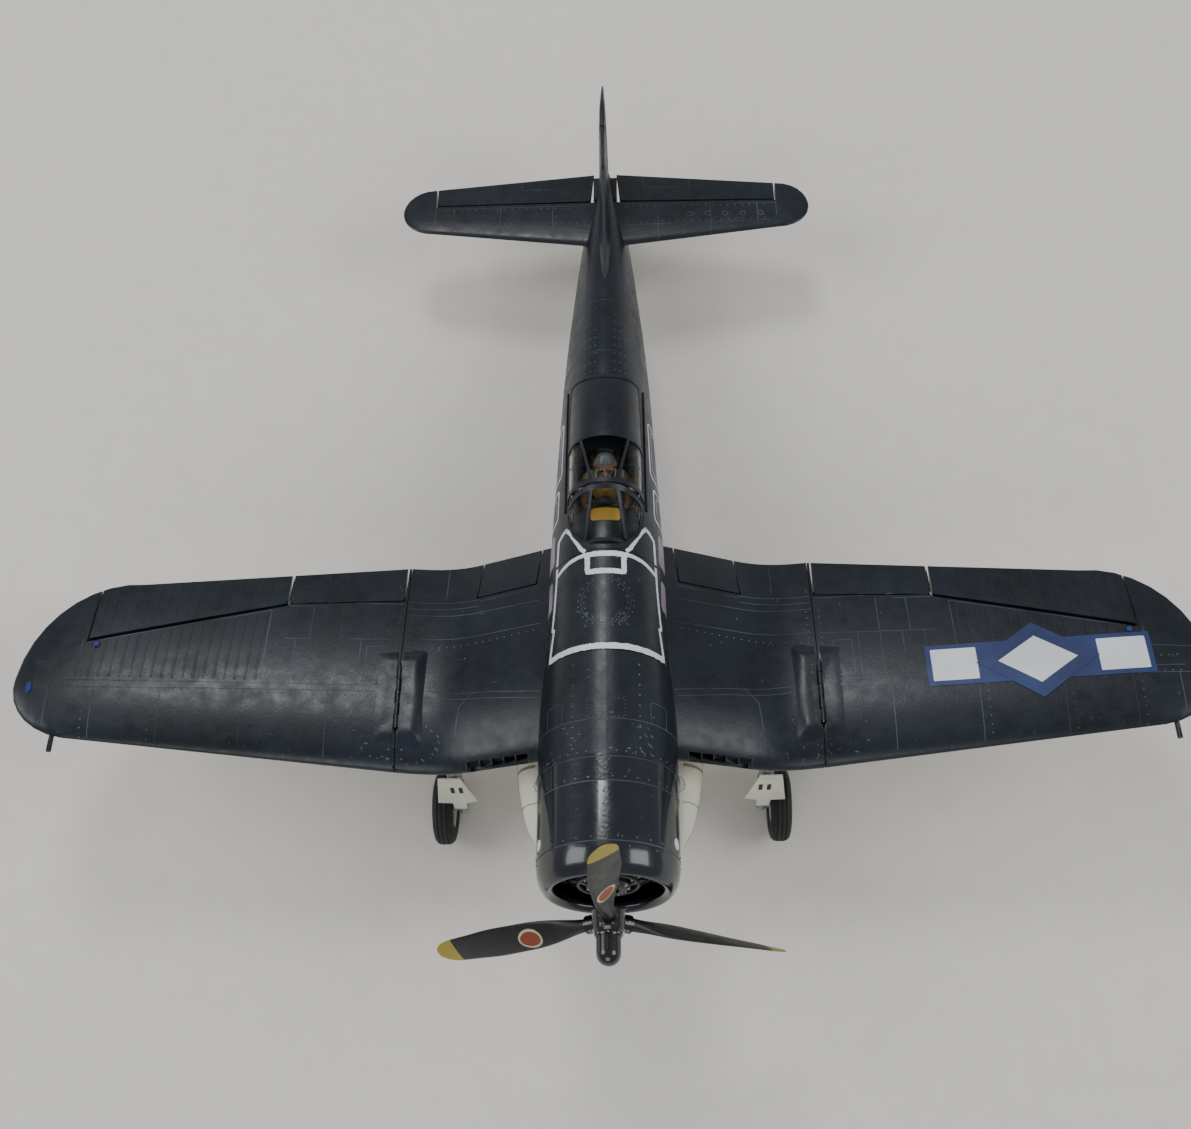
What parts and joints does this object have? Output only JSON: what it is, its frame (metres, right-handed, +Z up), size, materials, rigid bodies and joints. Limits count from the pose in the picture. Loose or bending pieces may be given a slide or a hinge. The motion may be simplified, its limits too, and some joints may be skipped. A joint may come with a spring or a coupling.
{
  "type": "rc foam airplane",
  "caption": "Radio-controlled foam model of a gull-winged naval fighter with folding outer wings, hinged control surfaces, sliding canopy, lift-off hatch and rolling wheels.",
  "frame": {"origin": "on the floor under the middle of the airplane's bounding box, with the airplane standing on its three wheels", "axes": "+X to the airplane's left along the span, +Y towards the tail along the floor, +Z up"},
  "size_m": [0.6936, 0.5687, 0.2505],
  "materials": {
    "navy_foam": "satin paint over moulded foam",
    "navy_surface": "satin paint over moulded foam",
    "cowl_paint": "gloss",
    "propeller_black": "satin",
    "hub_black": "gloss",
    "steel_wire": "bright",
    "motor_metal": "anodised",
    "plywood": "raw",
    "engine_grey": "satin",
    "carbon_tube": "satin",
    "electronics_black": "matt",
    "battery_wrap": "gloss",
    "servo_arm_white": "matt",
    "clear_canopy": "clear",
    "cockpit_dark": "matt",
    "pilot_paint": "matt",
    "intake_green": "matt",
    "gear_metal": "satin",
    "cream_plastic": "satin",
    "rim_plastic": "satin",
    "tyre_foam": "matt"
  },
  "bodies": {
    "airframe": {"fuselage_left": "navy_foam", "fuselage_right": "navy_foam", "firewall": "plywood", "motor_mount": "motor_metal", "mount_screws": "steel_wire", "motor_base": "motor_metal", "cowl_nose_ring": "cowl_paint", "cowl_shell": "cowl_paint", "cowl_flap_ring": "cowl_paint", "dummy_engine": "engine_grey", "equipment_tray": "plywood", "speed_controller": "electronics_black", "battery": "battery_wrap", "receiver": "electronics_black", "tail_servos": "electronics_black", "wing_joiner": "carbon_tube", "wing_inner_left": "navy_foam", "wing_inner_right": "navy_foam", "fold_pins": "steel_wire", "intake_vanes": "intake_green", "windscreen": "clear_canopy", "cockpit_tub": "cockpit_dark", "instrument_panel": "electronics_black", "pilot": "pilot_paint", "stabilizer": "navy_foam", "fin": "navy_foam", "gear_struts": "gear_metal", "gear_doors": "cream_plastic", "drop_tanks": "cream_plastic"},
    "propeller": {"propeller_blades": "propeller_black", "propeller_hub": "hub_black", "hub_dome": "hub_black", "motor_shaft": "steel_wire", "motor_can": "motor_metal"},
    "hatch": {"top_hatch": "navy_foam"},
    "canopy": {"canopy_hood": "clear_canopy"},
    "wing_left": {"wing_outer_left": "navy_foam", "aileron_servo_left": "electronics_black"},
    "wing_right": {"wing_outer_right": "navy_foam", "aileron_servo_right": "electronics_black"},
    "flap_inner_left": {"flap_inner_left": "navy_surface"},
    "flap_inner_right": {"flap_inner_right": "navy_surface"},
    "flap_outer_left": {"flap_outer_left": "navy_surface"},
    "flap_outer_right": {"flap_outer_right": "navy_surface"},
    "aileron_left": {"aileron_left": "navy_surface"},
    "aileron_right": {"aileron_right": "navy_surface"},
    "elevators": {"elevators": "navy_surface", "elevator_joiner": "steel_wire"},
    "rudder": {"rudder": "navy_surface", "rudder_post": "steel_wire"},
    "elevator_servo_arm": {"elevator_servo_arm": "servo_arm_white"},
    "rudder_servo_arm": {"rudder_servo_arm": "servo_arm_white"},
    "elevator_rod": {"elevator_pushrod": "steel_wire"},
    "rudder_rod": {"rudder_pushrod": "steel_wire"},
    "tail_fork": {"tail_fork": "gear_metal"},
    "tail_wheel": {"tail_wheel": "tyre_foam"},
    "main_wheel_left": {"wheel_rim_left": "rim_plastic", "wheel_tyre_left": "tyre_foam"},
    "main_wheel_right": {"wheel_rim_right": "rim_plastic", "wheel_tyre_right": "tyre_foam"}
  },
  "joints": [
    {"name": "propeller_spin", "type": "hinge", "parent": "airframe", "child": "propeller", "pos_m": [0, -0.26079, 0.14069], "axis": [0, 0.9763, -0.2164], "continuous": true},
    {"name": "hatch_lift", "type": "slide", "parent": "airframe", "child": "hatch", "axis": [0, 0.2164, 0.9763], "range_m": [0, 0.06]},
    {"name": "canopy_slide", "type": "slide", "parent": "airframe", "child": "canopy", "axis": [0, 0.9763, -0.2164], "range_m": [0, 0.04]},
    {"name": "wing_fold_left", "type": "hinge", "parent": "airframe", "child": "wing_left", "pos_m": [0.125, -0.14498, 0.0994], "axis": [0, -0.9763, 0.2164], "range_deg": [0, 100]},
    {"name": "wing_fold_right", "type": "hinge", "parent": "airframe", "child": "wing_right", "pos_m": [-0.125, -0.14498, 0.0994], "axis": [0, 0.9763, -0.2164], "range_deg": [0, 100]},
    {"name": "flap_inner_left_drop", "type": "hinge", "parent": "airframe", "child": "flap_inner_left", "pos_m": [0.041, -0.05599, 0.08497], "axis": [-0.9222, 0.0837, 0.3775], "range_deg": [0, 45]},
    {"name": "flap_inner_right_drop", "type": "hinge", "parent": "airframe", "child": "flap_inner_right", "pos_m": [-0.041, -0.05599, 0.08497], "axis": [-0.9222, -0.0837, -0.3775], "range_deg": [0, 45]},
    {"name": "flap_outer_left_drop", "type": "hinge", "parent": "wing_left", "child": "flap_outer_left", "pos_m": [0.128, -0.06007, 0.06658], "axis": [-0.9851, 0.0513, -0.1642], "range_deg": [0, 45]},
    {"name": "flap_outer_right_drop", "type": "hinge", "parent": "wing_right", "child": "flap_outer_right", "pos_m": [-0.128, -0.06007, 0.06658], "axis": [-0.9851, -0.0513, 0.1642], "range_deg": [0, 45]},
    {"name": "aileron_left_turn", "type": "hinge", "parent": "wing_left", "child": "aileron_left", "pos_m": [0.197, -0.06462, 0.07838], "axis": [0.947, -0.2403, 0.213], "range_deg": [-18, 18]},
    {"name": "aileron_right_turn", "type": "hinge", "parent": "wing_right", "child": "aileron_right", "pos_m": [-0.197, -0.06462, 0.07838], "axis": [-0.947, -0.2403, 0.213], "range_deg": [-18, 18]},
    {"name": "elevator_turn", "type": "hinge", "parent": "airframe", "child": "elevators", "pos_m": [0, 0.2293, 0.05969], "axis": [1, 0, 0], "range_deg": [-18, 18]},
    {"name": "elevator_servo_turn", "type": "hinge", "parent": "airframe", "child": "elevator_servo_arm", "pos_m": [-0.011, -0.00565, 0.09027], "axis": [0, 0.2164, 0.9763], "range_deg": [-21, 21]},
    {"name": "rudder_turn", "type": "hinge", "parent": "airframe", "child": "rudder", "pos_m": [0, 0.2176, 0.03463], "axis": [0, 0.2164, 0.9763], "range_deg": [-25, 25]},
    {"name": "rudder_servo_turn", "type": "hinge", "parent": "airframe", "child": "rudder_servo_arm", "pos_m": [0.011, -0.00565, 0.09027], "axis": [0, 0.2164, 0.9763], "range_deg": [-19, 19]},
    {"name": "elevator_rod_slide", "type": "slide", "parent": "airframe", "child": "elevator_rod", "axis": [-0.0009, 0.9841, -0.1778], "range_m": [-0.003, 0.003]},
    {"name": "rudder_rod_slide", "type": "slide", "parent": "airframe", "child": "rudder_rod", "axis": [0.0135, 0.9732, -0.2296], "range_m": [-0.003, 0.003]},
    {"name": "tail_wheel_steer", "type": "hinge", "parent": "airframe", "child": "tail_fork", "pos_m": [0, 0.20588, 0.03723], "axis": [0, 0.2164, 0.9763], "range_deg": [-25, 25]},
    {"name": "tail_wheel_roll", "type": "hinge", "parent": "tail_fork", "child": "tail_wheel", "pos_m": [0, 0.1994, 0.008], "axis": [1, 0, 0], "continuous": true},
    {"name": "main_wheel_left_roll", "type": "hinge", "parent": "airframe", "child": "main_wheel_left", "pos_m": [0.104, -0.18046, 0.0225], "axis": [1, 0, 0], "continuous": true},
    {"name": "main_wheel_right_roll", "type": "hinge", "parent": "airframe", "child": "main_wheel_right", "pos_m": [-0.104, -0.18046, 0.0225], "axis": [1, 0, 0], "continuous": true}
  ],
  "couplings": [
    {"joint": "flap_inner_right_drop", "follows": "flap_inner_left_drop", "ratio": 1},
    {"joint": "flap_outer_left_drop", "follows": "flap_inner_left_drop", "ratio": 1},
    {"joint": "flap_outer_right_drop", "follows": "flap_inner_left_drop", "ratio": 1},
    {"joint": "aileron_right_turn", "follows": "aileron_left_turn", "ratio": 1},
    {"joint": "elevator_servo_turn", "follows": "elevator_turn", "ratio": 1.125},
    {"joint": "elevator_rod_slide", "follows": "elevator_turn", "m_per_rad": 0.009},
    {"joint": "rudder_servo_turn", "follows": "rudder_turn", "ratio": -0.75},
    {"joint": "rudder_rod_slide", "follows": "rudder_turn", "m_per_rad": 0.006},
    {"joint": "tail_wheel_steer", "follows": "rudder_turn", "ratio": 1}
  ]
}
